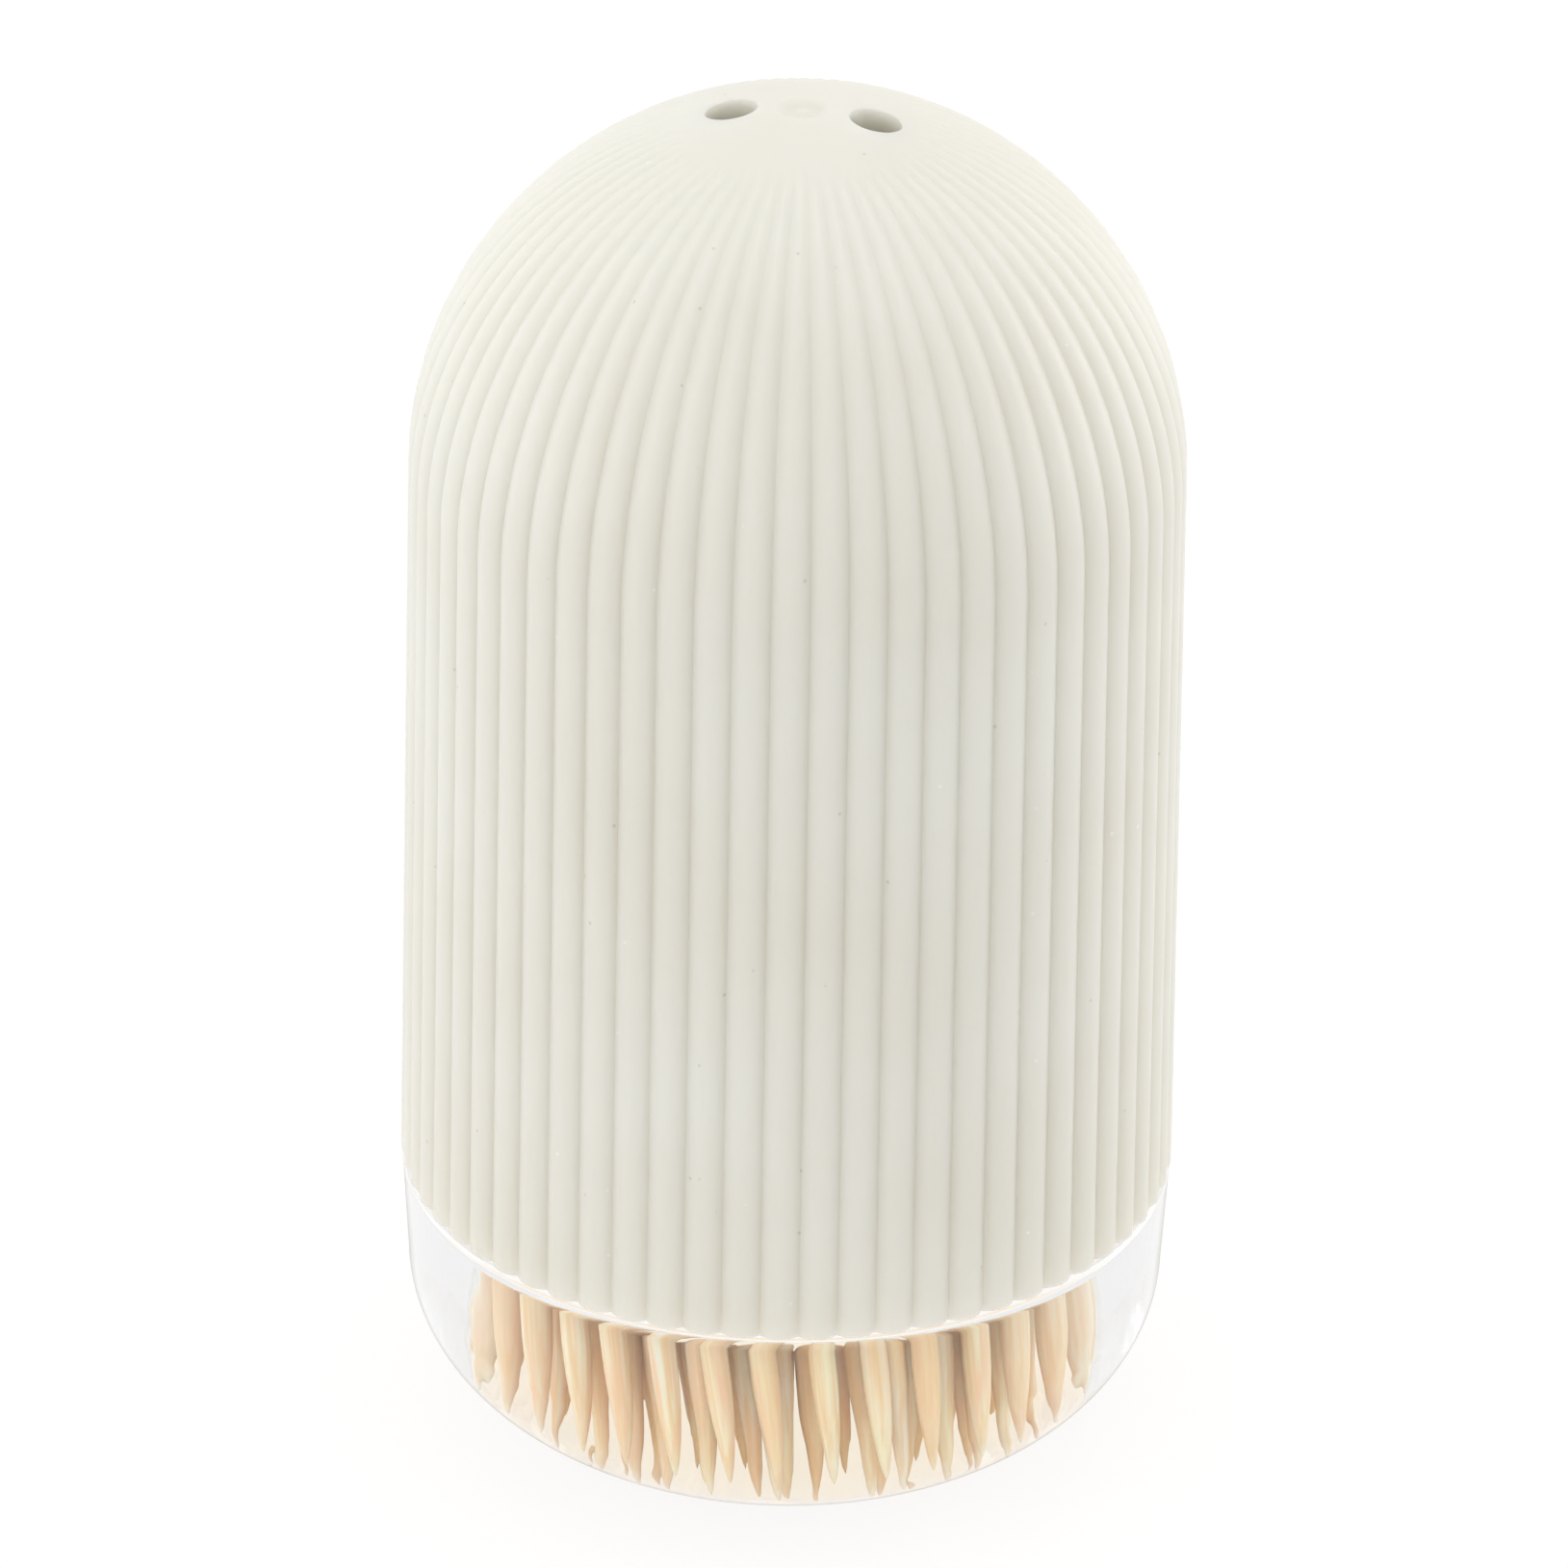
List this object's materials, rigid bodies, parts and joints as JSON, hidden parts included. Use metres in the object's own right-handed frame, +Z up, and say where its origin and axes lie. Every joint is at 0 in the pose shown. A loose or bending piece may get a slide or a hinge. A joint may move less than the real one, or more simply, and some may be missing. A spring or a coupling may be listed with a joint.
{
  "type": "toothpick dispenser",
  "caption": "Ribbed domed push-fit cap with two outlet holes over a clear round base that holds loose wooden toothpicks.",
  "frame": {"origin": "centre of the base's flat underside", "axes": "+Z up along the body's axis, -Y towards the front of the picture"},
  "size_m": [0.0622, 0.0622, 0.1124],
  "materials": {
    "cap_plastic": "matt, finely textured",
    "clear_plastic": "clear, polished",
    "pick_wood": "bare, sanded"
  },
  "bodies": {
    "base": {"base": "clear_plastic", "toothpick_01": "pick_wood", "toothpick_02": "pick_wood", "toothpick_03": "pick_wood", "toothpick_04": "pick_wood", "toothpick_05": "pick_wood", "toothpick_06": "pick_wood", "toothpick_07": "pick_wood", "toothpick_08": "pick_wood", "toothpick_09": "pick_wood", "toothpick_10": "pick_wood", "toothpick_11": "pick_wood", "toothpick_12": "pick_wood", "toothpick_13": "pick_wood", "toothpick_14": "pick_wood", "toothpick_15": "pick_wood", "toothpick_16": "pick_wood", "toothpick_17": "pick_wood", "toothpick_18": "pick_wood", "toothpick_19": "pick_wood", "toothpick_20": "pick_wood", "toothpick_21": "pick_wood", "toothpick_22": "pick_wood", "toothpick_23": "pick_wood", "toothpick_24": "pick_wood", "toothpick_25": "pick_wood", "toothpick_26": "pick_wood", "toothpick_27": "pick_wood", "toothpick_28": "pick_wood", "toothpick_29": "pick_wood", "toothpick_30": "pick_wood", "toothpick_31": "pick_wood", "toothpick_32": "pick_wood", "toothpick_33": "pick_wood", "toothpick_34": "pick_wood", "toothpick_35": "pick_wood", "toothpick_36": "pick_wood", "toothpick_37": "pick_wood", "toothpick_38": "pick_wood", "toothpick_39": "pick_wood", "toothpick_40": "pick_wood", "toothpick_41": "pick_wood", "toothpick_42": "pick_wood", "toothpick_43": "pick_wood", "toothpick_44": "pick_wood", "toothpick_45": "pick_wood", "toothpick_46": "pick_wood", "toothpick_47": "pick_wood", "toothpick_48": "pick_wood", "toothpick_49": "pick_wood", "toothpick_50": "pick_wood", "toothpick_51": "pick_wood", "toothpick_52": "pick_wood", "toothpick_53": "pick_wood", "toothpick_54": "pick_wood", "toothpick_55": "pick_wood", "toothpick_56": "pick_wood"},
    "cap": {"cap": "cap_plastic"},
    "left_toothpick": {"toothpick_under_left_outlet": "pick_wood"},
    "right_toothpick": {"toothpick_under_right_outlet": "pick_wood"}
  },
  "joints": [
    {"name": "cap_lift", "type": "slide", "parent": "base", "child": "cap", "axis": [0, 0, 1], "range_m": [0, 0.06]},
    {"name": "left_toothpick_slide", "type": "slide", "parent": "base", "child": "left_toothpick", "axis": [0, 0, 1], "range_m": [0, 0.075]},
    {"name": "right_toothpick_slide", "type": "slide", "parent": "base", "child": "right_toothpick", "axis": [0, 0, 1], "range_m": [0, 0.075]}
  ]
}
